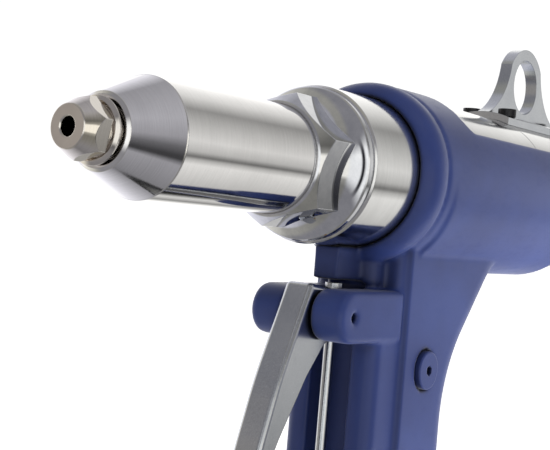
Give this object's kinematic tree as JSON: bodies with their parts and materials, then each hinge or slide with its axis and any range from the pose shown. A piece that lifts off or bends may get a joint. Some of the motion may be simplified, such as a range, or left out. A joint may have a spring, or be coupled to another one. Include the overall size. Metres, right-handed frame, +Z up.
{
  "type": "pneumatic rivet gun",
  "caption": "Pistol-grip pneumatic-hydraulic blind rivet gun: conical steel nose, hex lock nut, blue housing, lever trigger and round air cylinder base.",
  "frame": {"origin": "centre of the flat underside of the rubber base boot, on the axis of the air cylinder, ram and handle", "axes": "+X along the barrel axis towards the nose, +Z up along the handle, +Y to the left of the tool"},
  "size_m": [0.2886, 0.103, 0.289],
  "materials": {
    "polished_steel": "polished nickel",
    "ground_steel": "fine ground",
    "bright_chrome": "mirror chrome",
    "satin_steel": "satin",
    "tool_steel": "hardened, dull",
    "spring_steel": "drawn wire",
    "zinc_steel": "satin zinc",
    "bronze": "sintered bronze",
    "brass": "turned brass",
    "aluminium": "satin anodised",
    "aluminium_cast": "fine blasted",
    "black_screw": "black oxide",
    "seal_rubber": "matte",
    "boot_rubber": "matte, moulded",
    "black_plastic": "fine texture",
    "blue_housing": "satin navy blue"
  },
  "bodies": {
    "tool_body": {"nosepiece": "polished_steel", "front_housing": "ground_steel", "lock_nut": "bright_chrome", "head_cylinder": "satin_steel", "rod_gland": "bronze", "rod_seal": "seal_rubber", "return_spring": "spring_steel", "rear_cap": "satin_steel", "rear_seal": "seal_rubber", "collector_adapter": "aluminium", "hanger_eye": "zinc_steel", "hanger_screws": "black_screw", "housing": "blue_housing", "trigger_pin": "tool_steel", "valve_cartridge": "brass", "valve_spring": "spring_steel", "valve_spring_seat": "brass", "oil_tube": "ground_steel", "oil_plug": "blue_housing", "cylinder_head": "aluminium_cast", "inlet_adapter": "zinc_steel", "exhaust_silencer": "bronze", "ram_gland": "bronze", "ram_seal": "seal_rubber", "air_cylinder": "aluminium", "base_cap": "aluminium", "cap_o_ring": "seal_rubber", "retaining_ring": "spring_steel", "base_boot": "boot_rubber", "handle_screws": "black_screw"},
    "air_ram": {"ram_rod": "ground_steel", "air_piston": "aluminium", "air_piston_seal": "seal_rubber", "piston_nut": "zinc_steel"},
    "pull_group": {"head_piston": "ground_steel", "head_piston_seal": "seal_rubber", "jaw_case": "tool_steel", "mandrel_tube": "ground_steel", "jaw_spring": "spring_steel"},
    "jaw_a": {"jaw_1": "tool_steel"},
    "jaw_b": {"jaw_2": "tool_steel"},
    "jaw_c": {"jaw_3": "tool_steel"},
    "pusher": {"jaw_pusher": "tool_steel"},
    "trigger_lever": {"trigger": "zinc_steel"},
    "valve": {"valve_rod": "zinc_steel", "valve_spool": "ground_steel"},
    "bottle": {"collector_bottle": "black_plastic"}
  },
  "joints": [
    {"name": "ram_slide", "type": "slide", "parent": "tool_body", "child": "air_ram", "axis": [0, 0, 1], "range_m": [0, 0.0537], "stiffness_N_per_m": 200, "springref_m": -0.02},
    {"name": "pull_slide", "type": "slide", "parent": "tool_body", "child": "pull_group", "axis": [-1, 0, 0], "range_m": [0, 0.018], "deforming": ["return_spring"]},
    {"name": "jaw_a_slide", "type": "slide", "parent": "pull_group", "child": "jaw_a", "axis": [0.9774, 0, -0.2113], "range_m": [0, 0.0021]},
    {"name": "jaw_b_slide", "type": "slide", "parent": "pull_group", "child": "jaw_b", "axis": [0.9774, 0.183, 0.1057], "range_m": [0, 0.0021]},
    {"name": "jaw_c_slide", "type": "slide", "parent": "pull_group", "child": "jaw_c", "axis": [0.9774, -0.183, 0.1057], "range_m": [0, 0.0021]},
    {"name": "pusher_slide", "type": "slide", "parent": "pull_group", "child": "pusher", "axis": [1, 0, 0], "range_m": [0, 0.002], "deforming": ["jaw_spring"]},
    {"name": "trigger_squeeze", "type": "hinge", "parent": "tool_body", "child": "trigger_lever", "pos_m": [0.0335, 0, 0.2022], "axis": [0, 1, 0], "range_deg": [0, 12], "stiffness_Nm_per_rad": 0.4, "springref_deg": -5.73},
    {"name": "valve_lift", "type": "slide", "parent": "tool_body", "child": "valve", "axis": [0, 0, 1], "range_m": [0, 0.00232], "deforming": ["valve_spring"]},
    {"name": "bottle_twist", "type": "hinge", "parent": "tool_body", "child": "bottle", "pos_m": [-0.1166, 0, 0.24], "axis": [1, 0, 0], "range_deg": [0, 40]}
  ],
  "couplings": [
    {"joint": "pull_slide", "follows": "ram_slide", "ratio": 0.33457},
    {"joint": "jaw_a_slide", "follows": "ram_slide", "ratio": 0.03806},
    {"joint": "jaw_b_slide", "follows": "ram_slide", "ratio": 0.03806},
    {"joint": "jaw_c_slide", "follows": "ram_slide", "ratio": 0.03806},
    {"joint": "pusher_slide", "follows": "ram_slide", "ratio": 0.0372},
    {"joint": "valve_lift", "follows": "trigger_squeeze", "m_per_rad": 0.011}
  ]
}
